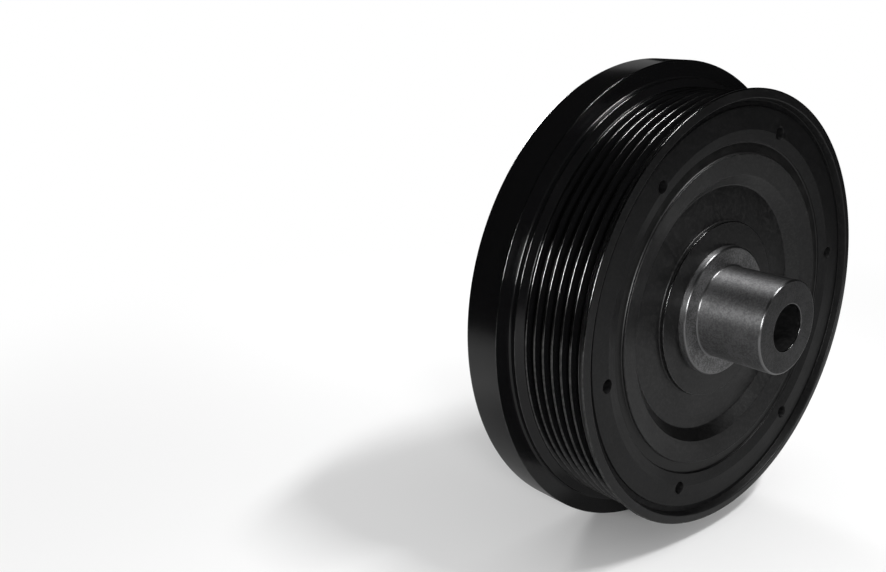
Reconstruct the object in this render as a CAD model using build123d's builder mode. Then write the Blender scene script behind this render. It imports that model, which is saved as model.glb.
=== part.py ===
"""Harmonic balancer with a six-rib belt track, built as the three pieces it is made of.

The crankshaft axis is the Y axis. The origin is the centre of the snout's end face, which seats on
the crankshaft, and +Y points out of the front of the engine. +Z is up.

Every piece is turned about that axis. A corner of its section is given by radius and depth, where
depth is measured from the plane of the front face towards the engine, as on a lathe drawing. The
radii of the ring, the rubber and the hub's outside are chained from the crests of the belt track,
and those of the hub's middle from its recess and its snout.
"""
from build123d import *
from math import radians, tan
from typing import NamedTuple
import os

# ---------------------------------------------------------------- driving dimensions, millimetres
reach = 60.0                    # front face plane to the seating end of the snout

# Inertia ring: belt track
crest_radius = 69.7
crest_flat = 0.7
rib_pitch = 3.56                # automotive PK section
groove_count = 6
groove_angle = 40.0
groove_depth = 2.9
shoulder_rise = 2.6             # plain collar in front of the belt track, above the crests
shoulder_width = 1.9
shoulder_foot_chamfer = 0.6
lead_in = 3.56                  # rear of the rim to the centre of the first crest
flange_rise = 1.1               # rear flange above the crests
flange_bevel = 1.3              # axial run of the bevel from the last crest up to the flange
flange_land = 1.2

# Inertia ring: front rim
rim_rise = 5.7                  # rim above the collar
rim_width = 13.4
rim_front_round = 1.5
rim_rear_chamfer = 0.3
front_land_width = 10.6         # flat front face
wall_brow_chamfer = 0.4
wall_taper = 0.7                # how much the wall of the front recess closes towards its floor
wall_foot_chamfer = 0.8
outer_terrace_depth = 5.0       # floor of the outer terrace, behind the front face
outer_terrace_width = 6.3
terrace_step_run = 1.6          # radial run of the step down to the inner terrace
terrace_step_drop = 0.9
bore_chamfer = 0.6              # where the inner terrace meets the rubber

# Inertia ring: rear face
lip_width = 1.4                 # flat top of the rear lip, from the flange's outside
lip_chamfer = 0.6
lip_slope_run = 2.3             # radial run of the slope from the lip down to the rear face
rear_face_sink = 1.9            # rear face below the lip
rear_face_width = 8.9
rear_slope_run = 3.8            # radial run of the slope from the rear face to the rubber
rear_slope_drop = 0.9

# Rubber ring
rubber_thickness = 3.6
rubber_front_sink = 0.7         # rubber below the metal on its two sides
rubber_rear_sink = 0.4
rubber_hollow = 0.6             # depth of the moulded channel in each end face

# Hub: front
hub_rim_sink = 0.2              # hub rim's front edge behind the inner terrace
hub_rim_width = 1.9
trough_wall_run = 3.3
trough_drop = 2.0               # deepest part of the front, below the hub rim
trough_width = 3.0
trough_round = 2.5
dome_foot_round = 2.5
dome_foot_share = 0.33          # part of that round's length where the swell of the dome starts
dome_bulge = 1.5                # how far the dome swells past a straight cone
boss_height = 0.9               # boss face in front of the front face plane
boss_face_width = 7.4
recess_radius = 18.4            # bore that takes the head and washer of the crankshaft bolt
recess_chamfer_run = 4.0
recess_chamfer_drop = 4.6
bolt_seat_depth = 28.0          # bolt seat behind the front face plane
seat_corner_chamfer = 0.8

# Hub: holes for the holding tool
tool_hole_count = 4
tool_hole_circle = 56.4
tool_hole_diameter = 9.5
tool_hole_depth = 16.0          # from the boss face
tool_hole_start = 11.0          # degrees from +X towards +Z

# Hub: rear
hub_rear_proud = 0.3            # hub's rear edge behind the edge of the ring's bore
hub_cone_run = 7.0
hub_cone_drop = 2.2
floor_wall_run = 2.8
floor_sink = 4.6                # floor below the hub's rear edge
floor_brow_chamfer = 1.0
floor_foot_chamfer = 1.2
disc_width = 7.7                # low disc round the collar
disc_height = 1.5
collar_width = 6.2              # ground collar round the snout
collar_height = 2.2
collar_chamfer = 0.6

# Hub: snout
snout_radius = 15.0
snout_root_chamfer = 0.6
snout_end_chamfer = 0.5
bolt_bore_radius = 7.5

# Inertia ring: small holes
drive_hole_count = 6
drive_hole_circle = 117.8
drive_hole_diameter = 4.0
drive_hole_depth = 9.0
drive_hole_start = 10.3         # degrees from +X towards +Z
timing_mark_radius = 72.8
timing_mark_diameter = 5.2
timing_mark_depth = 1.6
timing_mark_angle = 230.5       # degrees from +X towards +Z

# ---------------------------------------------------------------- radii that follow from those above
root_radius = crest_radius - groove_depth
shoulder_radius = crest_radius + shoulder_rise
rim_radius = shoulder_radius + rim_rise
wall_brow_radius = rim_radius - front_land_width
wall_foot_radius = wall_brow_radius - wall_taper
terrace_step_radius = wall_foot_radius - outer_terrace_width
flange_radius = crest_radius + flange_rise
lip_inner_radius = flange_radius - lip_width
rear_face_radius = lip_inner_radius - lip_slope_run
rear_slope_radius = rear_face_radius - rear_face_width
rubber_outer_radius = rear_slope_radius - rear_slope_run
hub_radius = rubber_outer_radius - rubber_thickness
trough_brow_radius = hub_radius - hub_rim_width
trough_outer_radius = trough_brow_radius - trough_wall_run
trough_inner_radius = trough_outer_radius - trough_width
recess_mouth_radius = recess_radius + recess_chamfer_run
boss_radius = recess_mouth_radius + boss_face_width
floor_brow_radius = hub_radius - hub_cone_run
floor_radius = floor_brow_radius - floor_wall_run
collar_radius = snout_radius + collar_width
disc_radius = collar_radius + disc_width

# ---------------------------------------------------------------- depths that follow from those above
half_flank = groove_depth * tan(radians(groove_angle / 2))
half_flat = crest_flat / 2
first_crest = rim_width + lead_in
last_crest = first_crest + groove_count * rib_pitch
lip_depth = last_crest + half_flat + flange_bevel + flange_land
rear_face_depth = lip_depth - rear_face_sink
bore_rear_depth = rear_face_depth - rear_slope_drop
inner_terrace_depth = outer_terrace_depth + terrace_step_drop
rubber_front = inner_terrace_depth + bore_chamfer + rubber_front_sink
rubber_rear = bore_rear_depth - rubber_rear_sink
hub_rim_depth = inner_terrace_depth + hub_rim_sink
trough_depth = hub_rim_depth + trough_drop
recess_wall_depth = recess_chamfer_drop - boss_height
hub_rear_depth = bore_rear_depth + hub_rear_proud
floor_depth = hub_rear_depth - floor_sink
disc_depth = floor_depth + disc_height
collar_depth = disc_depth + collar_height


class Corner(NamedTuple):
    """Corner of a section: where it is, and the round or the chamfer that breaks it."""

    radius: float
    depth: float
    round: float = 0
    chamfer: float = 0


def place(radius: float, depth: float) -> Vector:
    """Point of a section, drawn with its radius along X and the axis along Y."""
    return Vector(radius, reach - depth)


def turned_outline(corners: list[Corner]) -> None:
    """Close a section through its corners, cutting each chamfered one into two."""
    points, rounds = [], []
    befores = corners[-1:] + corners[:-1]
    afters = corners[1:] + corners[:1]
    for before, corner, after in zip(befores, corners, afters):
        here = place(corner.radius, corner.depth)
        if not corner.chamfer:
            points.append(here)
            rounds.append(corner.round)
            continue
        for neighbour in (before, after):
            along = (place(neighbour.radius, neighbour.depth) - here).normalized()
            points.append(here + along * corner.chamfer)
            rounds.append(0)
    FilletPolyline(*points, radius=rounds, close=True)


def cross_plane(depth: float) -> Plane:
    """Plane across the axis at a depth, facing the engine, with its X on +X and its Y on +Z."""
    return Plane(origin=(0, reach - depth, 0), x_dir=(1, 0, 0), z_dir=(0, -1, 0))


# ---------------------------------------------------------------- inertia ring
def belt_track() -> list[Corner]:
    """Corners of the grooves, from the front crest to the rear one."""
    corners = [Corner(crest_radius, first_crest - half_flat)]
    for groove in range(groove_count):
        front_edge = first_crest + groove * rib_pitch + half_flat
        rear_edge = front_edge + rib_pitch - crest_flat
        corners += [
            Corner(crest_radius, front_edge),
            Corner(root_radius, front_edge + half_flank),
            Corner(root_radius, rear_edge - half_flank),
            Corner(crest_radius, rear_edge),
        ]
    corners.append(Corner(crest_radius, last_crest + half_flat))
    return corners


ring_section = [
    Corner(rubber_outer_radius, inner_terrace_depth, chamfer=bore_chamfer),
    Corner(terrace_step_radius - terrace_step_run, inner_terrace_depth),
    Corner(terrace_step_radius, outer_terrace_depth),
    Corner(wall_foot_radius, outer_terrace_depth, chamfer=wall_foot_chamfer),
    Corner(wall_brow_radius, 0, chamfer=wall_brow_chamfer),
    Corner(rim_radius, 0, round=rim_front_round),
    Corner(rim_radius, rim_width, chamfer=rim_rear_chamfer),
    Corner(shoulder_radius, rim_width, chamfer=shoulder_foot_chamfer),
    Corner(shoulder_radius, rim_width + shoulder_width),
    *belt_track(),
    Corner(flange_radius, lip_depth - flange_land),
    Corner(flange_radius, lip_depth, chamfer=lip_chamfer),
    Corner(lip_inner_radius, lip_depth),
    Corner(rear_face_radius, rear_face_depth),
    Corner(rear_slope_radius, rear_face_depth),
    Corner(rubber_outer_radius, bore_rear_depth),
]

with BuildPart() as inertia_ring:
    with BuildSketch(Plane.XY):
        with BuildLine():
            turned_outline(ring_section)
        make_face()
    revolve(axis=Axis.Y)
    # Six small blind holes in the rear face, for the fixture that presses the ring on.
    with BuildSketch(cross_plane(rear_face_depth)):
        with PolarLocations(drive_hole_circle / 2, drive_hole_count, start_angle=drive_hole_start):
            Circle(drive_hole_diameter / 2)
    extrude(amount=-drive_hole_depth, mode=Mode.SUBTRACT)
    # Timing mark: a shallow drilled dimple in the flat front face.
    with BuildSketch(cross_plane(0)):
        with PolarLocations(timing_mark_radius, 1, start_angle=timing_mark_angle):
            Circle(timing_mark_diameter / 2)
    extrude(amount=timing_mark_depth, mode=Mode.SUBTRACT)
inertia_ring.part.label = "inertia_ring"

# ---------------------------------------------------------------- rubber ring
channel_inner_radius = hub_radius + rubber_hollow
channel_outer_radius = rubber_outer_radius - rubber_hollow
rubber_section = [
    Corner(hub_radius, rubber_front),
    Corner(channel_inner_radius, rubber_front + rubber_hollow),
    Corner(channel_outer_radius, rubber_front + rubber_hollow),
    Corner(rubber_outer_radius, rubber_front),
    Corner(rubber_outer_radius, rubber_rear),
    Corner(channel_outer_radius, rubber_rear - rubber_hollow),
    Corner(channel_inner_radius, rubber_rear - rubber_hollow),
    Corner(hub_radius, rubber_rear),
]

with BuildPart() as rubber_ring:
    with BuildSketch(Plane.XY):
        with BuildLine():
            turned_outline(rubber_section)
        make_face()
    revolve(axis=Axis.Y)
rubber_ring.part.label = "rubber_ring"

# ---------------------------------------------------------------- hub
hub_section = [
    Corner(bolt_bore_radius, bolt_seat_depth),
    Corner(recess_radius, bolt_seat_depth, chamfer=seat_corner_chamfer),
    Corner(recess_radius, recess_wall_depth),
    Corner(recess_mouth_radius, -boss_height),
    Corner(boss_radius, -boss_height),
    Corner(trough_inner_radius, trough_depth, round=dome_foot_round),
    Corner(trough_outer_radius, trough_depth, round=trough_round),
    Corner(trough_brow_radius, hub_rim_depth),
    Corner(hub_radius, hub_rim_depth),
    Corner(hub_radius, hub_rear_depth),
    Corner(floor_brow_radius, hub_rear_depth - hub_cone_drop, chamfer=floor_brow_chamfer),
    Corner(floor_radius, floor_depth, chamfer=floor_foot_chamfer),
    Corner(disc_radius, floor_depth),
    Corner(disc_radius, disc_depth),
    Corner(collar_radius, disc_depth),
    Corner(collar_radius, collar_depth, chamfer=collar_chamfer),
    Corner(snout_radius, collar_depth, chamfer=snout_root_chamfer),
    Corner(snout_radius, reach, chamfer=snout_end_chamfer),
    Corner(bolt_bore_radius, reach),
]

with BuildPart() as hub:
    with BuildSketch(Plane.XY):
        with BuildLine():
            turned_outline(hub_section)
        make_face()
        # The dome swells past the straight cone between the trough and the boss.
        with BuildLine():
            brow = place(boss_radius, -boss_height)
            slope = (brow - place(trough_inner_radius, trough_depth)).normalized()
            foot = place(trough_inner_radius, trough_depth) + slope * dome_foot_round * dome_foot_share
            outward = slope.rotate(Axis.Z, -90)
            Line(foot, brow)
            ThreePointArc(foot, (brow + foot) / 2 + outward * dome_bulge, brow)
        make_face()
    revolve(axis=Axis.Y)
    # Holes for the holding tool, broken into by the slope of the dome.
    with BuildSketch(cross_plane(-boss_height)):
        with PolarLocations(tool_hole_circle / 2, tool_hole_count, start_angle=tool_hole_start):
            Circle(tool_hole_diameter / 2)
    extrude(amount=tool_hole_depth, mode=Mode.SUBTRACT)
hub.part.label = "hub"

# ---------------------------------------------------------------- one STEP file for each piece
os.makedirs("parts", exist_ok=True)
export_step(inertia_ring.part, "parts/inertia_ring.step")
export_step(rubber_ring.part, "parts/rubber_ring.step")
export_step(hub.part, "parts/hub.step")
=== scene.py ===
"""Looks of the harmonic balancer: turned meshes, paint, bare steel and rubber, and the studio."""
import logging
import math
from dataclasses import dataclass
from enum import Enum
from typing import NamedTuple

import bmesh
import bpy
from mathutils import Matrix, Vector


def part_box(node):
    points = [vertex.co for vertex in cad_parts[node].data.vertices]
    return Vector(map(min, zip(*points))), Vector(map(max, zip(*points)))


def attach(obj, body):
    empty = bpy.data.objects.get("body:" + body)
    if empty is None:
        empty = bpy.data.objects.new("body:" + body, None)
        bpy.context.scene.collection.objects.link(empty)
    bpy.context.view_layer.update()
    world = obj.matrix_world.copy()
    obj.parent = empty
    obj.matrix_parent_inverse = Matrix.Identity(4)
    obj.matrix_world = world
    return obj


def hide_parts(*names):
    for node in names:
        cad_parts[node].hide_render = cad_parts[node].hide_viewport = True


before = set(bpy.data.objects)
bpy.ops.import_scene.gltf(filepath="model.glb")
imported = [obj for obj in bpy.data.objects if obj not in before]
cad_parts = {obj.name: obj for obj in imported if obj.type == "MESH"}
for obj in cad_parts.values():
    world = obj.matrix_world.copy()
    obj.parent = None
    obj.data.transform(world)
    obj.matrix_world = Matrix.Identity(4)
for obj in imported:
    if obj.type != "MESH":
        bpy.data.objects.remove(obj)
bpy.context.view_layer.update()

LOG = logging.getLogger("balancer")
MM = 0.001
BAND = "band"                   # face attribute: band of the outline that a face was turned from
WORN_EDGE = "worn_edge"         # face attribute: 1 on the edges that are worn bright
IMAGE_WIDTH = 886               # pixels
RING_SATIN_DEPTH = 36 * MM      # from the front face: where the ring's paint turns satin
HUB_SATIN_DEPTH = 20 * MM       # the same for the hub
FORWARDS = Vector((0, 1, 0))    # along the crankshaft, out of the front of the engine
BACKWARDS = Vector((0, -1, 0))
USUAL_NOISE = (0.3, 0.7)        # range that nearly all of a noise lies in
CRISP_NOISE = (0.35, 0.65)      # narrower, so that the noise has clear lights and darks
PATCHY_NOISE = (0.4, 0.7)       # leaves most of the surface dark, with patches of light

Links = bpy.types.NodeSocket
Span = tuple[float, float]
Colour = tuple[float, float, float]


# ---------------------------------------------------------------- turned sections and their meshes
class Corner(NamedTuple):
    """Corner of a turned section, in millimetres, the round that breaks it, and whether it is worn bright."""

    radius: float
    depth: float
    round: float = 0.0
    worn: bool = False


class OutlinePoint(NamedTuple):
    """Point of a section's outline, in millimetres, with the way its two sides face there."""

    spot: Vector
    facing_before: Vector
    facing_after: Vector
    worn: bool


@dataclass(frozen=True)
class Lathe:
    """Turns closed sections about the crankshaft axis into meshes.

    Depths run from the plane of the front face towards the engine, as on a lathe drawing. A corner that
    turns less than `straight` stays sharp, and a round takes no more than `side_share` of either side.
    """

    front: float
    steps: int = 360
    arc_step: float = math.radians(12)
    straight: float = math.radians(2)
    side_share: float = 0.48

    def outline(self, corners: list[Corner]) -> list[OutlinePoint]:
        """Round the corners of a section.

        Args:
            corners: Corners of a closed section, in order.

        Returns:
            Points of the outline, as (radius, depth).
        """
        spots = [Vector(corner[:2]) for corner in corners]
        points: list[OutlinePoint] = []
        for index, corner in enumerate(corners):
            here = spots[index]
            before = spots[index - 1] - here
            after = spots[(index + 1) % len(spots)] - here
            facing_before = Vector((before.y, -before.x)).normalized()
            facing_after = Vector((-after.y, after.x)).normalized()
            turn = facing_before.angle_signed(facing_after)
            if corner.round <= 0 or abs(turn) < self.straight:
                points.append(OutlinePoint(here, facing_before, facing_after, False))
                continue
            half = math.tan(abs(turn) / 2)
            reach = min(corner.round * half, self.side_share * before.length, self.side_share * after.length)
            side = math.copysign(reach / half, turn)
            centre = here + before.normalized() * reach - facing_before * side
            count = max(2, math.ceil(abs(turn) / self.arc_step))
            for step in range(count + 1):
                facing = facing_before.copy()
                facing.rotate(Matrix.Rotation(-turn * step / count, 2))
                worn = corner.worn and step < count
                points.append(OutlinePoint(centre + facing * side, facing, facing, worn))
        return points

    def turn(self, name: str, corners: list[Corner]) -> "Turning":
        """Turn a closed section into a mesh object.

        Args:
            name: Name of the object.
            corners: Corners of the section.

        Returns:
            The new piece, in metres, in the frame of the CAD.
        """
        outline = self.outline(corners)
        verts, faces = [], []
        for step in range(self.steps):
            angle = math.tau * step / self.steps
            for point in outline:
                radius, depth = point.spot * MM
                verts.append((radius * math.cos(angle), self.front - depth, radius * math.sin(angle)))
        count = len(outline)
        for step in range(self.steps):
            here, there = step * count, (step + 1) % self.steps * count
            for index in range(count):
                after = (index + 1) % count
                faces.append((here + index, here + after, there + after, there + index))
        mesh = bpy.data.meshes.new(name)
        mesh.from_pydata(verts, [], faces)
        bands = mesh.attributes.new(BAND, "INT", "FACE")
        bands.data.foreach_set("value", list(range(1, count + 1)) * self.steps)
        worn = mesh.attributes.new(WORN_EDGE, "FLOAT", "FACE")
        worn.data.foreach_set("value", [float(point.worn) for point in outline] * self.steps)
        return Turning(adopt(name, mesh), outline, self.front)


@dataclass
class Turning:
    """Turned piece, with the outline that it was turned from."""

    piece: bpy.types.Object
    outline: list[OutlinePoint]
    front: float

    def drill(self, cutters: list[bpy.types.Object]) -> None:
        """Cut drills out of the piece and delete them.

        Args:
            cutters: Solids that are taken out of the piece.
        """
        for cutter in cutters:
            cut = self.piece.modifiers.new("hole", "BOOLEAN")
            cut.operation = "DIFFERENCE"
            cut.solver = "EXACT"
            cut.object = cutter
        graph = bpy.context.evaluated_depsgraph_get()
        mesh = bpy.data.meshes.new_from_object(self.piece.evaluated_get(graph))
        self.piece.modifiers.clear()
        self.piece.data = mesh
        for cutter in cutters:
            bpy.data.objects.remove(cutter)

    def facing(self, band: int, spot: Vector) -> Vector:
        """Find the way that a band of the outline faces at a spot, as (radius, depth)."""
        start = self.outline[band - 1]
        end = self.outline[band % len(self.outline)]
        run = end.spot - start.spot
        share = min(1.0, max(0.0, (spot - start.spot).dot(run) / run.length_squared))
        return start.facing_after.lerp(end.facing_before, share).normalized()

    def shade(self, crease: float = math.radians(32)) -> bpy.types.Object:
        """Give the turned bands the normals of true rounds, cones and planes.

        Args:
            crease: Angle between two drilled faces from which the edge between them is sharp.

        Returns:
            The finished piece.
        """
        mesh = self.piece.data
        mesh.shade_smooth()
        mesh.set_sharp_from_angle(angle=crease)
        normals = [corner.vector.copy() for corner in mesh.corner_normals]
        bands = mesh.attributes[BAND].data
        for face in mesh.polygons:
            band = bands[face.index].value
            if band == 0:
                continue
            for loop in face.loop_indices:
                place = mesh.vertices[mesh.loops[loop].vertex_index].co
                radius = math.hypot(place.x, place.z)
                facing = self.facing(band, Vector((radius, self.front - place.y)) / MM)
                normal = Vector((facing.x * place.x / radius, -facing.y, facing.x * place.z / radius))
                if face.normal.dot(normal) < 0:
                    normal.negate()
                normals[loop] = normal
        mesh.normals_split_custom_set(normals)
        return self.piece


def adopt(name: str, mesh: bpy.types.Mesh) -> bpy.types.Object:
    """Put a mesh into the scene as an object, with its normals outwards."""
    work = bmesh.new()
    work.from_mesh(mesh)
    bmesh.ops.recalc_face_normals(work, faces=work.faces)
    work.to_mesh(mesh)
    work.free()
    piece = bpy.data.objects.new(name, mesh)
    bpy.context.scene.collection.objects.link(piece)
    return piece


def drill_bit(name: str, radius: float, mouth: Vector, inwards: Vector, depth: float, lip: float,
              steps: int) -> bpy.types.Object:
    """Build the solid that cuts a round blind hole with a broken edge.

    Args:
        name: Name of the solid.
        radius: Radius of the hole, metres.
        mouth: Centre of the hole in the face that it is drilled into.
        inwards: Direction of drilling.
        depth: Depth of the hole, metres.
        lip: Width of the broken edge at the mouth, metres.
        steps: Sides of the solid.

    Returns:
        The cutting solid.
    """
    proud = 2 * MM
    ease = lip * 0.35           # less than half, so that the broken edge is full, like a round
    rows = [(radius + lip, -proud), (radius + lip, 0), (radius + ease, ease), (radius, lip),
            (radius, depth - lip), (radius - lip, depth)]
    turn = Vector((0, 0, 1)).rotation_difference(inwards)
    verts = []
    for width, along in rows:
        for step in range(steps):
            angle = math.tau * step / steps
            verts.append(mouth + turn @ Vector((width * math.cos(angle), width * math.sin(angle), along)))
    faces = [tuple(reversed(range(steps))), tuple(range((len(rows) - 1) * steps, len(rows) * steps))]
    for row in range(len(rows) - 1):
        near, far = row * steps, (row + 1) * steps
        for step in range(steps):
            after = (step + 1) % steps
            faces.append((near + step, near + after, far + after, far + step))
    mesh = bpy.data.meshes.new(name)
    mesh.from_pydata(verts, [], faces)
    return adopt(name, mesh)


@dataclass(frozen=True)
class Holes:
    """Round blind holes on a circle about the axis, in millimetres and degrees from +X towards +Z."""

    count: int
    circle: float
    start: float
    radius: float
    depth: float
    bevel: float = 0.25
    sides: int = 40

    def bits(self, name: str, y: float, inwards: Vector) -> list[bpy.types.Object]:
        """Build the solids that cut the holes.

        Args:
            name: Name of the solids.
            y: Height on the axis of the face that they enter, metres.
            inwards: Direction of drilling.

        Returns:
            A cutting solid for each hole.
        """
        bits = []
        for hole in range(self.count):
            turn = math.radians(self.start + 360 / self.count * hole)
            mouth = Vector((self.circle * MM * math.cos(turn), y, self.circle * MM * math.sin(turn)))
            bits.append(drill_bit(name, self.radius * MM, mouth, inwards, self.depth * MM, self.bevel * MM,
                                  self.sides))
        return bits


# ---------------------------------------------------------------- finishes
class Texture(NamedTuple):
    """Smooth noise of a finish: how many waves to a metre, its octaves and how strong the fine ones are."""

    scale: float
    detail: float = 3.0
    rough: float = 0.55


class Graph:
    """Node graph of one material, with short names for the nodes that the finishes share."""

    def __init__(self, name: str) -> None:
        """Start an empty graph."""
        self.material = bpy.data.materials.new(name)
        self.material.use_nodes = True
        self.tree = self.material.node_tree
        self.tree.nodes.clear()

    @classmethod
    def of(cls, tree: bpy.types.NodeTree) -> "Graph":
        """Start an empty graph in a node tree that is already there."""
        graph = cls.__new__(cls)
        graph.tree = tree
        tree.nodes.clear()
        return graph

    def node(self, kind: str, feeds: dict | None = None, **settings: object) -> bpy.types.Node:
        """Add a node.

        Args:
            kind: Node type.
            feeds: What each input socket gets: a socket or a plain value.
            **settings: Attributes of the node.

        Returns:
            The new node.
        """
        node = self.tree.nodes.new(kind)
        for key, value in settings.items():
            setattr(node, key, value)
        for key, value in (feeds or {}).items():
            if isinstance(value, Links):
                self.tree.links.new(value, node.inputs[key])
            else:
                node.inputs[key].default_value = value
        return node

    def calc(self, operation: str, first: object, second: object = 0.0, clamp: bool = False) -> Links:
        """Combine two numbers."""
        feeds = {0: first, 1: second}
        return self.node("ShaderNodeMath", feeds, operation=operation, use_clamp=clamp).outputs[0]

    def step(self, value: Links, within: Span, to: Span = (0.0, 1.0)) -> Links:
        """Map a number smoothly from one range to another, clamped."""
        (low, high), (start, end) = within, to
        feeds = {"Value": value, "From Min": low, "From Max": high, "To Min": start, "To Max": end}
        return self.node("ShaderNodeMapRange", feeds, interpolation_type="SMOOTHSTEP").outputs["Result"]

    def noise(self, where: Links, texture: Texture) -> Links:
        """Sample a texture at a place."""
        scale, detail, rough = texture
        feeds = {"Vector": where, "Scale": scale, "Detail": detail, "Roughness": rough}
        return self.node("ShaderNodeTexNoise", feeds).outputs[0]

    def worn_edge(self) -> Links:
        """Tell the worn edges, 1, from the rest, 0."""
        return self.node("ShaderNodeAttribute", attribute_name=WORN_EDGE).outputs["Fac"]

    def length(self, vector: Links) -> Links:
        """Measure a vector."""
        return self.node("ShaderNodeVectorMath", {0: vector}, operation="LENGTH").outputs["Value"]

    def colours(self, share: object, first: object, second: object) -> Links:
        """Mix two colours, which are the mix node's inputs 6 and 7."""
        mix = self.node("ShaderNodeMix", {"Factor": share}, data_type="RGBA")
        for socket, value in ((mix.inputs[6], first), (mix.inputs[7], second)):
            if isinstance(value, Links):
                self.tree.links.new(value, socket)
            else:
                socket.default_value = (*value, 1.0)
        return mix.outputs[2]

    def numbers(self, share: Links, first: object, second: object) -> Links:
        """Mix two numbers, which are the mix node's inputs 2 and 3."""
        feeds = {"Factor": share, 2: first, 3: second}
        return self.node("ShaderNodeMix", feeds, data_type="FLOAT").outputs[0]

    def bump(self, height: Links, distance: float, strength: object, under: Links | None = None) -> Links:
        """Turn a height into a normal, over another normal if one is given."""
        feeds = {"Height": height, "Distance": distance, "Strength": strength}
        if under is not None:
            feeds["Normal"] = under
        return self.node("ShaderNodeBump", feeds).outputs["Normal"]

    def finish(self, shader: bpy.types.Node) -> bpy.types.Material:
        """Connect the shader to the output."""
        output = self.node("ShaderNodeOutputMaterial")
        self.tree.links.new(shader.outputs[0], output.inputs["Surface"])
        return self.material


class Place(NamedTuple):
    """Where a point of a surface is, as a turner sees it: `rings` is the same all round the axis."""

    point: Links
    normal: Links
    radius: Links
    y: Links
    rings: Links


def find_place(graph: Graph) -> Place:
    """Work out where the points of a surface are from their object coordinates."""
    coordinates = graph.node("ShaderNodeTexCoord").outputs
    point, normal = coordinates["Object"], coordinates["Normal"]
    parts = graph.node("ShaderNodeSeparateXYZ", {"Vector": point})
    flat = graph.node("ShaderNodeCombineXYZ", {"X": parts.outputs["X"], "Z": parts.outputs["Z"]})
    radius = graph.length(flat.outputs[0])
    rings = graph.node("ShaderNodeCombineXYZ", {"X": radius, "Y": parts.outputs["Y"]}).outputs[0]
    return Place(point, normal, radius, parts.outputs["Y"], rings)


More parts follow.
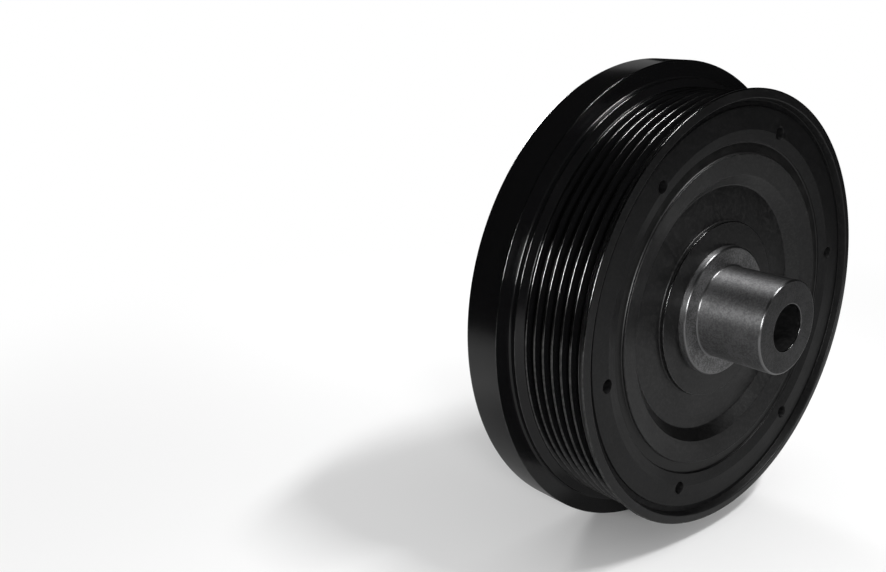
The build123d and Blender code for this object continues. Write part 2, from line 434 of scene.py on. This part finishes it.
@dataclass(frozen=True)
class BlackPaint:
    """Black paint over turned iron: glossy in front and on the rim, satin on the engine side.

    Lengths are in metres. The engine side mirrors less within the outer of the two painted-shade radii, and
    least
    between them: that weakest mirroring is painted shade, which darkens the shallow relief of the ring's rear
    face.
    """

    name: str
    satin_from: float
    black: Colour = (0.0028, 0.0028, 0.003)
    dusty: Colour = (0.026, 0.0255, 0.025)
    bare: Colour = (0.12, 0.12, 0.12)
    scuffed: Colour = (0.06, 0.06, 0.06)
    gloss: float = 0.14
    satin: float = 0.36
    satin_blend: float = 1 * MM
    edge: float = 0.12
    calm_edge: float = 0.15
    shine: float = 0.45
    rear_shine: float = 0.45
    # painted shade: between these radii the paint mirrors least, so the relief reads darker
    painted_shade_radii: Span = (0.0, 0.0)
    painted_shade_blend: float = 0.3 * MM
    painted_shade_share: float = 0.35
    cloud: Texture = Texture(60, 4)
    cloud_rough: Span = (-0.03, 0.05)
    rings: Texture = Texture(1500, 4, 0.7)
    rings_rough: Span = (-0.015, 0.04)
    rings_depth: float = 0.008 * MM
    rings_strength: float = 0.5
    peel: Texture = Texture(420, 2)
    peel_depth: float = 0.012 * MM
    peel_strength: float = 0.35
    grain: Texture = Texture(900, 2)
    grain_depth: float = 0.01 * MM
    grain_strength: float = 0.25
    rear_grain_strength: float = 0.8
    specks: Texture = Texture(1600, 1)
    specks_within: Span = (0.72, 0.8)
    patches_within: Span = (0.45, 0.75)
    patches_share: float = 0.7
    grit: Texture = Texture(1100, 4, 0.75)
    grit_within: Span = (0.44, 0.64)
    rear_grit: float = 0.36

    def build(self) -> bpy.types.Material:
        """Build the material."""
        graph = Graph(self.name)
        return graph.finish(self.shader(graph, find_place(graph)))

    def shader(self, graph: Graph, place: Place) -> bpy.types.Node:
        """Add the paint's shader to a graph.

        Args:
            graph: Graph that gets the nodes.
            place: Where the surface is.

        Returns:
            The shader node.
        """
        rear = graph.step(place.y, (self.satin_from + self.satin_blend, self.satin_from - self.satin_blend))
        cloud = graph.noise(place.point, self.cloud)
        grain = graph.noise(place.point, self.grain)
        rings = graph.noise(place.rings, self.rings)
        edge = graph.worn_edge()
        rough = graph.numbers(rear, self.gloss, self.satin)
        rough = graph.numbers(edge, rough, self.edge)
        rough = graph.calc("ADD", rough, graph.step(cloud, USUAL_NOISE, self.cloud_rough))
        rough = graph.calc("ADD", rough, graph.step(rings, USUAL_NOISE, self.rings_rough))
        calm = graph.numbers(edge, 1.0, self.calm_edge)
        peel_strength = graph.calc("MULTIPLY", calm, self.peel_strength)
        rings_strength = graph.calc("MULTIPLY", calm, self.rings_strength)
        grain_strength = graph.numbers(rear, self.grain_strength, self.rear_grain_strength)
        normal = graph.bump(graph.noise(place.point, self.peel), self.peel_depth, peel_strength)
        normal = graph.bump(rings, self.rings_depth, rings_strength, under=normal)
        normal = graph.bump(grain, self.grain_depth, grain_strength, under=normal)
        paint = graph.colours(self.dust(graph, place, rear, cloud), self.black, self.dusty)
        bare = graph.colours(graph.step(grain, CRISP_NOISE), self.bare, self.scuffed)
        feeds = {
            "Base Color": graph.colours(edge, paint, bare),
            "Metallic": edge,
            "Roughness": rough,
            "Specular IOR Level": graph.numbers(rear, self.shine, self.rear_sheen(graph, place)),
            "Normal": normal,
        }
        return graph.node("ShaderNodeBsdfPrincipled", feeds)

    def dust(self, graph: Graph, place: Place, rear: Links, cloud: Links) -> Links:
        """Work out how dusty the paint is.

        Args:
            graph: Graph that gets the nodes.
            place: Where the surface is.
            rear: 1 on the engine side, 0 elsewhere.
            cloud: Noise that gathers the specks in patches.

        Returns:
            Share of dust: loose specks in patches everywhere, and fine grit on the engine side.
        """
        specks = graph.step(graph.noise(place.point, self.specks), self.specks_within)
        patches = graph.step(cloud, self.patches_within, (0.0, self.patches_share))
        grit = graph.step(graph.noise(place.point, self.grit), self.grit_within, (0.0, self.rear_grit))
        loose = graph.calc("MULTIPLY", specks, patches)
        return graph.calc("MAXIMUM", loose, graph.calc("MULTIPLY", grit, rear))

    def rear_sheen(self, graph: Graph, place: Place) -> Links:
        """Work out how much the engine side mirrors, by radius, with painted shade in the relief where it
        mirrors least.
        """
        inner, outer = self.painted_shade_radii
        past_inner = graph.step(place.radius, (inner - self.painted_shade_blend, inner + self.painted_shade_blend))
        within_outer = graph.step(place.radius, (outer + self.painted_shade_blend, outer - self.painted_shade_blend))
        # painted shade: the relief band, where the paint mirrors least
        dull = graph.calc("MULTIPLY", past_inner, within_outer)
        face = graph.numbers(dull, self.rear_shine, self.rear_shine * self.painted_shade_share)
        lip = graph.step(place.radius, (outer + self.painted_shade_blend, outer + 3 * self.painted_shade_blend))
        return graph.numbers(lip, face, self.shine)


@dataclass(frozen=True)
class Steel:
    """Bare steel: turned where it is round, light on the collar's face and dark on the snout's end."""

    bright: Colour = (0.25, 0.25, 0.253)
    stained: Colour = (0.16, 0.16, 0.162)
    collar_light: Colour = (0.34, 0.34, 0.344)
    collar_dark: Colour = (0.17, 0.17, 0.172)
    end_light: Colour = (0.12, 0.12, 0.122)
    end_dark: Colour = (0.075, 0.075, 0.076)
    polished: Colour = (0.27, 0.27, 0.273)
    end_to_collar: Span = (2 * MM, 4 * MM)
    round_rough: Span = (0.5, 0.66)
    flat_rough: Span = (0.42, 0.55)
    edge: float = 0.36
    flat_facing: Span = (0.8, 0.97)
    turned: float = 0.85
    quarter_turn: float = 0.25
    marks: Texture = Texture(4200, 4, 0.7)
    marks_share: float = 0.1
    marks_height: float = 0.6
    stain: Texture = Texture(150, 6, 0.68)
    stain_share: float = 0.7
    pits: Texture = Texture(900, 3, 0.6)
    pits_share: float = 0.5
    grain: Texture = Texture(1700, 3, 0.6)
    grain_share: float = 0.45
    depth: float = 0.014 * MM
    strength: float = 0.6
    edge_strength: float = 0.2

    def shader(self, graph: Graph, place: Place) -> bpy.types.Node:
        """Add the steel's shader to a graph."""
        marks = graph.noise(place.rings, self.marks)
        stain = graph.noise(place.point, self.stain)
        pits = graph.noise(place.point, self.pits)
        grain = graph.noise(place.point, self.grain)
        edge = graph.worn_edge()
        marks_tone = graph.step(marks, USUAL_NOISE, (-self.marks_share, self.marks_share))
        stain_tone = graph.step(stain, CRISP_NOISE, (0.0, self.stain_share))
        pits_tone = graph.step(pits, PATCHY_NOISE, (0.0, self.pits_share))
        grain_tone = graph.step(grain, CRISP_NOISE, (-self.grain_share, self.grain_share))
        tone = graph.calc("ADD", graph.calc("ADD", stain_tone, pits_tone), marks_tone)
        tone = graph.calc("ADD", tone, grain_tone, clamp=True)
        height = graph.calc("MULTIPLY", marks, self.marks_height)
        height = graph.calc("ADD", height, graph.calc("ADD", pits, grain))
        normal = graph.bump(height, self.depth, graph.numbers(edge, self.strength, self.edge_strength))
        rounds = graph.colours(tone, self.bright, self.stained)
        collar = graph.colours(tone, self.collar_light, self.collar_dark)
        end = graph.colours(tone, self.end_light, self.end_dark)
        flats = graph.colours(graph.step(place.y, self.end_to_collar), end, collar)
        round_feeds = {
            "Base Color": graph.colours(edge, rounds, self.polished),
            "Metallic": 1.0,
            "Roughness": graph.numbers(edge, graph.step(stain, USUAL_NOISE, self.round_rough), self.edge),
            "Anisotropic": self.turned,
            "Anisotropic Rotation": self.quarter_turn,
            "Tangent": graph.node("ShaderNodeTangent", direction_type="RADIAL", axis="Y").outputs[0],
            "Normal": normal,
        }
        flat_feeds = {
            "Base Color": graph.colours(edge, flats, self.polished),
            "Metallic": 1.0,
            "Roughness": graph.numbers(edge, graph.step(marks, USUAL_NOISE, self.flat_rough), self.edge),
            "Normal": normal,
        }
        facing = graph.node("ShaderNodeSeparateXYZ", {"Vector": place.normal}).outputs["Y"]
        flat = graph.step(graph.calc("ABSOLUTE", facing), self.flat_facing)
        mix = graph.node("ShaderNodeMixShader", {0: flat})
        for index, feeds in ((1, round_feeds), (2, flat_feeds)):
            graph.tree.links.new(graph.node("ShaderNodeBsdfPrincipled", feeds).outputs[0], mix.inputs[index])
        return mix


@dataclass(frozen=True)
class HubFinish:
    """The hub's paint, with the snout and its collar left as bare turned steel. Lengths are in metres.

    The steel begins a little behind the raised disc and within a little more than the collar's radius,
    and ends at the bevel of the bolt bore.
    """

    name: str
    paint: BlackPaint
    steel: Steel
    collar_radius: float
    disc_y: float
    bore_radius: float
    ragged: float = 0.12 * MM
    wander: Texture = Texture(500, 3)
    behind_disc: float = 0.25 * MM
    disc_blend: float = 0.08 * MM
    past_collar: float = 0.4 * MM
    collar_blend: float = 0.05 * MM
    bore_bevel: Span = (0.05 * MM, 0.25 * MM)

    def build(self) -> bpy.types.Material:
        """Build the material."""
        graph = Graph(self.name)
        place = find_place(graph)
        wander = graph.step(graph.noise(place.point, self.wander), USUAL_NOISE, (-self.ragged, self.ragged))
        limit = self.disc_y - self.behind_disc
        depth = graph.calc("ADD", place.y, wander)
        behind = graph.step(depth, (limit + self.disc_blend, limit - self.disc_blend))
        within = self.collar_radius + self.past_collar
        inside = graph.step(place.radius, (within + self.collar_blend, within - self.collar_blend))
        bevel_inner, bevel_outer = self.bore_bevel
        outside = graph.step(place.radius, (self.bore_radius + bevel_inner, self.bore_radius + bevel_outer))
        bare = graph.calc("MULTIPLY", graph.calc("MULTIPLY", inside, outside), behind)
        mix = graph.node("ShaderNodeMixShader", {0: bare})
        paint = self.paint.shader(graph, place)
        steel = self.steel.shader(graph, place)
        graph.tree.links.new(paint.outputs[0], mix.inputs[1])
        graph.tree.links.new(steel.outputs[0], mix.inputs[2])
        return graph.finish(mix)


@dataclass(frozen=True)
class Rubber:
    """Moulded black elastomer that took some overspray."""

    name: str
    black: Colour = (0.0028, 0.0028, 0.0028)
    bloom: Colour = (0.006, 0.0059, 0.0058)
    rough: Span = (0.36, 0.46)
    shine: float = 0.4
    cloud: Texture = Texture(180, 5, 0.65)
    grain: Texture = Texture(2200, 3)
    depth: float = 0.015 * MM
    strength: float = 0.4

    def build(self) -> bpy.types.Material:
        """Build the material."""
        graph = Graph(self.name)
        place = find_place(graph)
        cloud = graph.noise(place.point, self.cloud)
        grain = graph.noise(place.point, self.grain)
        feeds = {
            "Base Color": graph.colours(graph.step(cloud, PATCHY_NOISE), self.black, self.bloom),
            "Roughness": graph.step(cloud, USUAL_NOISE, self.rough),
            "Specular IOR Level": self.shine,
            "Normal": graph.bump(graph.calc("ADD", grain, cloud), self.depth, self.strength),
        }
        return graph.finish(graph.node("ShaderNodeBsdfPrincipled", feeds))


# ---------------------------------------------------------------- the three pieces
@dataclass(frozen=True)
class BeltTrack:
    """Belt track of the inertia ring, with six V grooves. Millimetres."""

    crest_radius: float = 69.7
    crest_flat: float = 0.7
    crest_round: float = 0.48
    root_round: float = 0.3
    pitch: float = 3.56
    grooves: int = 6
    flank: float = math.radians(20)
    groove_depth: float = 2.9

    def corners(self, first_crest: float) -> list[Corner]:
        """List the corners from the front crest, whose front edge isn't worn, to the rear one."""
        run = self.groove_depth * math.tan(self.flank)
        half = self.crest_flat / 2
        root = self.crest_radius - self.groove_depth
        corners = [Corner(self.crest_radius, first_crest - half, round=self.root_round)]
        for groove in range(self.grooves):
            front_edge = first_crest + groove * self.pitch + half
            rear_edge = front_edge + self.pitch - self.crest_flat
            corners += [
                Corner(self.crest_radius, front_edge, round=self.crest_round, worn=True),
                Corner(root, front_edge + run, round=self.root_round),
                Corner(root, rear_edge - run, round=self.root_round),
                Corner(self.crest_radius, rear_edge, round=self.crest_round, worn=True),
            ]
        last_crest = first_crest + self.grooves * self.pitch
        corners.append(Corner(self.crest_radius, last_crest + half, round=self.crest_round))
        return corners


@dataclass(frozen=True)
class InertiaRing:
    """Heavy outer ring: plain front rim, belt track, rear face and its small holes. Millimetres."""

    lathe: Lathe
    track: BeltTrack = BeltTrack()
    rim_radius: float = 78.0
    rim_width: float = 13.4
    brow_radius: float = 67.4
    wall_foot_radius: float = 66.7
    outer_terrace: float = 5.0
    step_radius: float = 60.4
    step_run: float = 1.6
    inner_terrace: float = 5.9
    bore_bevel: float = 0.6
    bore_radius: float = 54.4
    shoulder_radius: float = 72.3
    shoulder_width: float = 1.9
    lead_in: float = 3.56
    flange_radius: float = 70.8
    flange_bevel: float = 1.3
    flange_land: float = 1.2
    lip_fall: float = 0.45
    lip_inner_radius: float = 67.8
    rear_face_radius: float = 67.1
    rear_face_sink: float = 1.9
    relief_radius: float = 65.2
    relief_wall: float = 0.2
    relief_depth: float = 0.45
    rear_slope_radius: float = 58.2
    rear_slope_drop: float = 0.9
    holes: Holes = Holes(count=6, circle=58.9, start=10.3, radius=2.0, depth=9.0)
    mark: Holes = Holes(count=1, circle=72.8, start=230.5, radius=2.6, depth=1.6, bevel=0.3)

    @property
    def lip_depth(self) -> float:
        """Depth of the rear lip, the ring's rearmost edge."""
        last_crest = self.rim_width + self.lead_in + self.track.grooves * self.track.pitch
        return last_crest + self.track.crest_flat / 2 + self.flange_bevel + self.flange_land

    @property
    def rear_face(self) -> float:
        """Depth of the flat rear face."""
        return self.lip_depth - self.rear_face_sink

    def section(self) -> list[Corner]:
        """List the corners of the ring's section."""
        bore_rear = self.rear_face - self.rear_slope_drop
        relief = self.rear_face - self.relief_depth
        return [
            Corner(self.bore_radius, self.inner_terrace + self.bore_bevel, round=0.2),
            Corner(self.bore_radius + self.bore_bevel, self.inner_terrace, round=0.4),
            Corner(self.step_radius - self.step_run, self.inner_terrace, round=1.0),
            Corner(self.step_radius, self.outer_terrace, round=1.0),
            Corner(self.wall_foot_radius, self.outer_terrace, round=1.0),
            Corner(self.brow_radius, 0, round=0.5),
            Corner(self.rim_radius, 0, round=1.5),
            Corner(self.rim_radius, self.rim_width, round=0.2, worn=True),
            Corner(self.shoulder_radius, self.rim_width, round=0.8),
            Corner(self.shoulder_radius, self.rim_width + self.shoulder_width, round=0.25, worn=True),
            *self.track.corners(self.rim_width + self.lead_in),
            Corner(self.flange_radius, self.lip_depth - self.flange_land, round=0.25),
            Corner(self.flange_radius, self.lip_depth - self.lip_fall, round=0.4, worn=True),
            Corner(self.lip_inner_radius, self.lip_depth, round=0.4),
            Corner(self.rear_face_radius, relief, round=0.3),
            Corner(self.relief_radius + self.relief_wall, relief, round=0.1),
            Corner(self.relief_radius, self.rear_face),
            Corner(self.rear_slope_radius, self.rear_face, round=0.8),
            Corner(self.bore_radius, bore_rear, round=0.25),
        ]

    def build(self) -> bpy.types.Object:
        """Turn the ring and drill its small holes and its timing mark."""
        turning = self.lathe.turn("outer_ring", self.section())
        rear = self.lathe.front - self.rear_face * MM
        bits = self.holes.bits("drive_hole", rear, FORWARDS)
        bits += self.mark.bits("timing_mark", self.lathe.front, BACKWARDS)
        turning.drill(bits)
        return turning.shade()


@dataclass(frozen=True)
class RubberRing:
    """Damping ring between the hub and the inertia ring. Millimetres."""

    lathe: Lathe
    outer_radius: float = 54.4
    inner_radius: float = 50.8
    front: float = 7.2
    rear: float = 37.97
    hollow: float = 0.3
    hollow_round: float = 0.5

    def build(self) -> bpy.types.Object:
        """Turn the ring, with a moulded channel in each end face."""
        inner, outer = self.inner_radius, self.outer_radius
        front_floor, rear_floor = self.front + self.hollow, self.rear - self.hollow
        turning = self.lathe.turn("damping_ring", [
            Corner(inner, self.front),
            Corner(inner + self.hollow, front_floor, round=self.hollow_round),
            Corner(outer - self.hollow, front_floor, round=self.hollow_round),
            Corner(outer, self.front),
            Corner(outer, self.rear),
            Corner(outer - self.hollow, rear_floor, round=self.hollow_round),
            Corner(inner + self.hollow, rear_floor, round=self.hollow_round),
            Corner(inner, self.rear),
        ])
        return turning.shade()


@dataclass(frozen=True)
class Hub:
    """Domed hub with its recess, holding-tool holes, ground collar and snout. Millimetres."""

    lathe: Lathe
    reach: float = 60.0
    bore_radius: float = 7.5
    seat_depth: float = 28.0
    recess_radius: float = 18.4
    recess_wall: float = 3.7
    mouth_radius: float = 22.4
    boss_radius: float = 29.8
    boss_height: float = 0.9
    trough_inner: float = 42.6
    trough_outer: float = 45.6
    trough_depth: float = 8.1
    brow_radius: float = 48.9
    rim_depth: float = 6.1
    outer_radius: float = 50.8
    rear_depth: float = 38.67
    cone_radius: float = 43.9
    cone_drop: float = 1.4
    floor_radius: float = 40.4
    floor_depth: float = 34.07
    disc_radius: float = 28.9
    disc_depth: float = 35.57
    collar_radius: float = 21.2
    collar_depth: float = 37.77
    snout_radius: float = 15.0
    dome_bulge: float = 1.5
    dome_parts: int = 8
    holes: Holes = Holes(count=4, circle=28.2, start=11.0, radius=4.75, depth=16.0, sides=64)

    def dome(self) -> list[Corner]:
        """List the points of the swelling dome, from the boss to the trough."""
        brow = Vector((self.boss_radius, -self.boss_height))
        foot = Vector((self.trough_inner, self.trough_depth))
        along = foot - brow
        outward = Vector((along.y, -along.x)).normalized()
        points = []
        for part in range(1, self.dome_parts):
            share = part / self.dome_parts
            spot = brow + along * share + outward * self.dome_bulge * 4 * share * (1 - share)
            points.append(Corner(spot.x, spot.y))
        return points

    def section(self) -> list[Corner]:
        """List the corners of the hub's section."""
        return [
            Corner(self.bore_radius, self.seat_depth, round=0.3),
            Corner(self.recess_radius, self.seat_depth, round=0.8),
            Corner(self.recess_radius, self.recess_wall, round=0.3),
            Corner(self.mouth_radius, -self.boss_height, round=0.4),
            Corner(self.boss_radius, -self.boss_height, round=0.9),
            *self.dome(),
            Corner(self.trough_inner, self.trough_depth, round=2.0),
            Corner(self.trough_outer, self.trough_depth, round=2.5),
            Corner(self.brow_radius, self.rim_depth, round=0.5),
            Corner(self.outer_radius, self.rim_depth, round=0.3),
            Corner(self.outer_radius, self.rear_depth, round=0.3),
            Corner(self.cone_radius, self.rear_depth - self.cone_drop, round=0.4),
            Corner(self.floor_radius, self.floor_depth, round=0.8),
            Corner(self.disc_radius, self.floor_depth, round=0.4),
            Corner(self.disc_radius, self.disc_depth, round=0.25, worn=True),
            Corner(self.collar_radius, self.disc_depth, round=0.3),
            Corner(self.collar_radius, self.collar_depth, round=0.6, worn=True),
            Corner(self.snout_radius, self.collar_depth, round=0.5, worn=True),
            Corner(self.snout_radius, self.reach, round=0.6, worn=True),
            Corner(self.bore_radius, self.reach, round=0.3, worn=True),
        ]

    def build(self) -> bpy.types.Object:
        """Turn the hub and drill the holes for the holding tool."""
        turning = self.lathe.turn("hub_casting", self.section())
        face = self.lathe.front + self.boss_height * MM
        turning.drill(self.holes.bits("tool_hole", face, BACKWARDS))
        return turning.shade()


# ---------------------------------------------------------------- studio
class Ray(Enum):
    """Kinds of ray that a stage object can be seen by."""

    CAMERA = "visible_camera"
    DIFFUSE = "visible_diffuse"
    GLOSSY = "visible_glossy"
    TRANSMISSION = "visible_transmission"
    SHADOW = "visible_shadow"


@dataclass(frozen=True)
class Softbox:
    """Rectangular area lamp that faces the object, in metres, degrees and watts."""

    name: str
    azimuth: float
    elevation: float
    distance: float
    width: float
    height: float
    power: float

    def build(self, target: Vector) -> None:
        """Hang the lamp round a target."""
        data = bpy.data.lights.new(self.name, "AREA")
        data.shape = "RECTANGLE"
        data.size, data.size_y = self.width, self.height
        data.energy = self.power
        lamp = bpy.data.objects.new(self.name, data)
        towards = heading(self.azimuth, self.elevation)
        lamp.location = target + towards * self.distance
        lamp.rotation_euler = towards.to_track_quat("Z", "Y").to_euler()
        bpy.context.scene.collection.objects.link(lamp)


def grey(level: float) -> tuple[float, float, float, float]:
    """Opaque grey of a level from 0 to 1."""
    return (level, level, level, 1.0)


def heading(azimuth: float, elevation: float) -> Vector:
    """Unit vector towards an azimuth from +X towards +Y and an elevation, in degrees."""
    turn, lift = math.radians(azimuth), math.radians(elevation)
    return Vector((math.cos(turn) * math.cos(lift), math.sin(turn) * math.cos(lift), math.sin(lift)))


@dataclass(frozen=True)
class Studio:
    """Pale floor, soft lamps, dark room for the gloss to mirror, and white surroundings.

    Lengths are in metres. A pair of distances says where a change begins and where it ends.
    """

    floor_height: float
    floor_size: float = 40.0
    floor_grey: float = 0.9
    floor_rough: float = 0.9
    floor_shine: float = 0.1
    floor_fade: Span = (0.16, 0.45)
    # painted reflections, seen only by the gloss: the table top, its paler sheet and the room's dark cloth
    table_radius: float = 0.36
    table_lift: float = 0.0005
    table_grey: float = 0.36
    sheet_grey: float = 0.58
    sheet_ahead: Span = (0.09, 0.13)
    sheet_away: Span = (0.34, 0.27)
    room_radius: float = 2.2
    room_lift: float = 0.001
    room_top: float = math.radians(88)
    room_steps: int = 128
    room_rows: int = 16
    cloth_grey: float = 0.02
    matt: float = 0.95
    fill: float = 0.45
    aim: tuple[float, float, float] = (0.0, 0.03, 0.0)
    softboxes: tuple[Softbox, ...] = (      # azimuth, elevation, distance, width, height, power
        Softbox("lamp_by_camera", -132, 12, 0.45, 0.08, 0.12, 1.2),
        Softbox("strip_overhead", -64, 62, 0.7, 0.24, 0.05, 3.0),
        Softbox("lamp_in_front", 64, 13, 0.5, 0.1, 0.1, 0.9),
        Softbox("wide_lamp_behind", 50, 18, 1.4, 0.5, 0.5, 0.14),
    )

    def build(self) -> None:
        """Build the stage."""
        self.build_floor()
        self.build_room()
        for softbox in self.softboxes:
            softbox.build(Vector(self.aim))
        self.build_world()
        bpy.context.scene.view_settings.view_transform = "Standard"

    def seen(self, graph: Graph) -> Links:
        """Tell the rays that see the surroundings from those that light with them."""
        path = graph.node("ShaderNodeLightPath").outputs
        seen = graph.calc("MAXIMUM", path["Is Camera Ray"], path["Is Glossy Ray"])
        return graph.calc("MAXIMUM", seen, path["Is Transmission Ray"])

    def build_floor(self) -> None:
        """Lay the pale floor under the rim, fading to white far from the object."""
        bpy.ops.mesh.primitive_plane_add(size=self.floor_size, location=(0, 0, self.floor_height))
        floor = bpy.context.active_object
        floor.name = "floor"
        graph = Graph("pale_floor")
        away = graph.length(graph.node("ShaderNodeNewGeometry").outputs["Position"])
        far = graph.calc("MULTIPLY", graph.step(away, self.floor_fade), self.seen(graph))
        near = graph.node("ShaderNodeBsdfPrincipled", {
            "Base Color": grey(self.floor_grey),
            "Roughness": self.floor_rough,
            "Specular IOR Level": self.floor_shine,
        })
        white = graph.node("ShaderNodeEmission", {"Color": grey(1), "Strength": 1.0})
        mix = graph.node("ShaderNodeMixShader", {0: far, 1: near.outputs[0], 2: white.outputs[0]})
        floor.data.materials.append(graph.finish(mix))

    def build_room(self) -> None:
        """Hang what only the gloss sees: a grey table top, and a dark room round it."""
        rims = [(0.0, self.table_lift), (self.table_radius, self.table_lift)]
        for row in range(self.room_rows + 1):
            lift = self.room_top * row / self.room_rows
            height = self.room_lift + self.room_radius * math.sin(lift)
            rims.append((self.room_radius * math.cos(lift), height))
        work = bmesh.new()
        loops = []
        for radius, height in rims:
            ring = []
            for step in range(self.room_steps):
                angle = math.tau * step / self.room_steps
                spot = (radius * math.cos(angle), radius * math.sin(angle), self.floor_height + height)
                ring.append(work.verts.new(spot))
            loops.append(ring)
        table, cloth = range(2)
        for lower, upper in zip(loops, loops[1:]):
            for step in range(self.room_steps):
                after = (step + 1) % self.room_steps
                face = work.faces.new((lower[step], lower[after], upper[after], upper[step]))
                face.material_index = table if lower is loops[0] else cloth
        work.faces.new(loops[-1]).material_index = cloth
        mesh = bpy.data.meshes.new("dark_room")
        work.to_mesh(mesh)
        work.free()
        room = bpy.data.objects.new("dark_room", mesh)
        bpy.context.scene.collection.objects.link(room)
        for ray in Ray:
            setattr(room, ray.value, ray is Ray.GLOSSY)
        for material in (self.table_top(), self.dark_cloth()):
            mesh.materials.append(material)

    def table_top(self) -> bpy.types.Material:
        """Paint the grey table top, with a paler sheet before the front of the ring: only the gloss sees
        them, as painted reflections that lighten the lower front of the ring.
        """
        graph = Graph("grey_table")
        spot = graph.node("ShaderNodeNewGeometry").outputs["Position"]
        ahead = graph.node("ShaderNodeSeparateXYZ", {"Vector": spot}).outputs["Y"]
        past = graph.step(ahead, self.sheet_ahead)
        sheet = graph.calc("MULTIPLY", past, graph.step(graph.length(spot), self.sheet_away))
        colour = graph.colours(sheet, (self.table_grey,) * 3, (self.sheet_grey,) * 3)
        return self.dull(graph, colour)

    def dark_cloth(self) -> bpy.types.Material:
        """Build the cloth of the dark room, which only the gloss sees: a painted dark reflection."""
        return self.dull(Graph("dark_cloth"), grey(self.cloth_grey))

    def dull(self, graph: Graph, colour: object) -> bpy.types.Material:
        """Build a material that mirrors nothing."""
        feeds = {"Base Color": colour, "Roughness": self.matt, "Specular IOR Level": 0.0}
        return graph.finish(graph.node("ShaderNodeBsdfPrincipled", feeds))

    def build_world(self) -> None:
        """Surround the stage with white that lights it softly."""
        world = bpy.data.worlds.new("studio")
        world.use_nodes = True
        graph = Graph.of(world.node_tree)
        level = graph.numbers(self.seen(graph), self.fill, 1.0)
        background = graph.node("ShaderNodeBackground", {"Color": grey(1), "Strength": level})
        output = graph.node("ShaderNodeOutputWorld")
        graph.tree.links.new(background.outputs[0], output.inputs["Surface"])
        bpy.context.scene.world = world


@dataclass(frozen=True)
class Viewpoint:
    """Camera that looks at the engine side from the left and above.

    The offset, in millimetres, leads from the camera to the centre of the ring's front face: across to the
    right, down, and away. The sensor's width is in millimetres too.
    """

    azimuth: float = -129.86
    elevation: float = 15.94
    focal_pixels: float = 972.6
    offset: tuple[float, float, float] = (66.60, 0.16, 340.78)
    sensor: float = 36.0

    def build(self, front: float) -> None:
        """Place the camera.

        Args:
            front: Where the ring's front face is on the axis, metres.
        """
        towards = heading(self.azimuth, self.elevation)
        forward = -towards
        right = forward.cross(Vector((0, 0, 1))).normalized()
        down = forward.cross(right)
        across, drop, away = (value * MM for value in self.offset)
        data = bpy.data.cameras.new("camera")
        data.sensor_width = self.sensor
        data.lens = self.focal_pixels * self.sensor / IMAGE_WIDTH
        camera = bpy.data.objects.new("camera", data)
        camera.location = Vector((0, front, 0)) - right * across - down * drop - forward * away
        camera.rotation_euler = forward.to_track_quat("-Z", "Y").to_euler()
        bpy.context.scene.collection.objects.link(camera)
        bpy.context.scene.camera = camera


def hand_over(piece: bpy.types.Object, node: str, material: bpy.types.Material) -> None:
    """Dress a piece and let it stand for a CAD node.

    Args:
        piece: Finished piece.
        node: CAD node that it replaces.
        material: Its finish.
    """
    piece.data.materials.clear()
    piece.data.materials.append(material)
    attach(piece, "root")
    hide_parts(node)
    LOG.info("%s stands for %s: %d faces", piece.name, node, len(piece.data.polygons))


def main() -> None:
    """Build the pieces, the studio and the camera."""
    logging.basicConfig(level=logging.INFO, format="%(message)s")
    ring_low, ring_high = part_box("inertia_ring")
    front = ring_high[1]
    lathe = Lathe(front)
    ring, rubber, hub = InertiaRing(lathe), RubberRing(lathe), Hub(lathe)
    ring_paint = BlackPaint(
        "ring_black_paint", satin_from=front - RING_SATIN_DEPTH, rear_shine=0.29, rear_grit=0.18,
        # painted shade in the relief between these radii
        painted_shade_radii=(ring.relief_radius * MM, ring.rear_face_radius * MM),
    )
    hub_paint = BlackPaint("hub_black_paint", satin_from=front - HUB_SATIN_DEPTH)
    hub_finish = HubFinish(
        "hub_paint_and_steel", hub_paint, Steel(),
        collar_radius=hub.collar_radius * MM,
        disc_y=front - hub.disc_depth * MM,
        bore_radius=hub.bore_radius * MM,
    )
    hand_over(ring.build(), "inertia_ring", ring_paint.build())
    hand_over(rubber.build(), "rubber_ring", Rubber("moulded_rubber").build())
    hand_over(hub.build(), "hub", hub_finish.build())
    Studio(floor_height=ring_low[2]).build()
    Viewpoint().build(front)


if __name__ == "__main__":
    main()
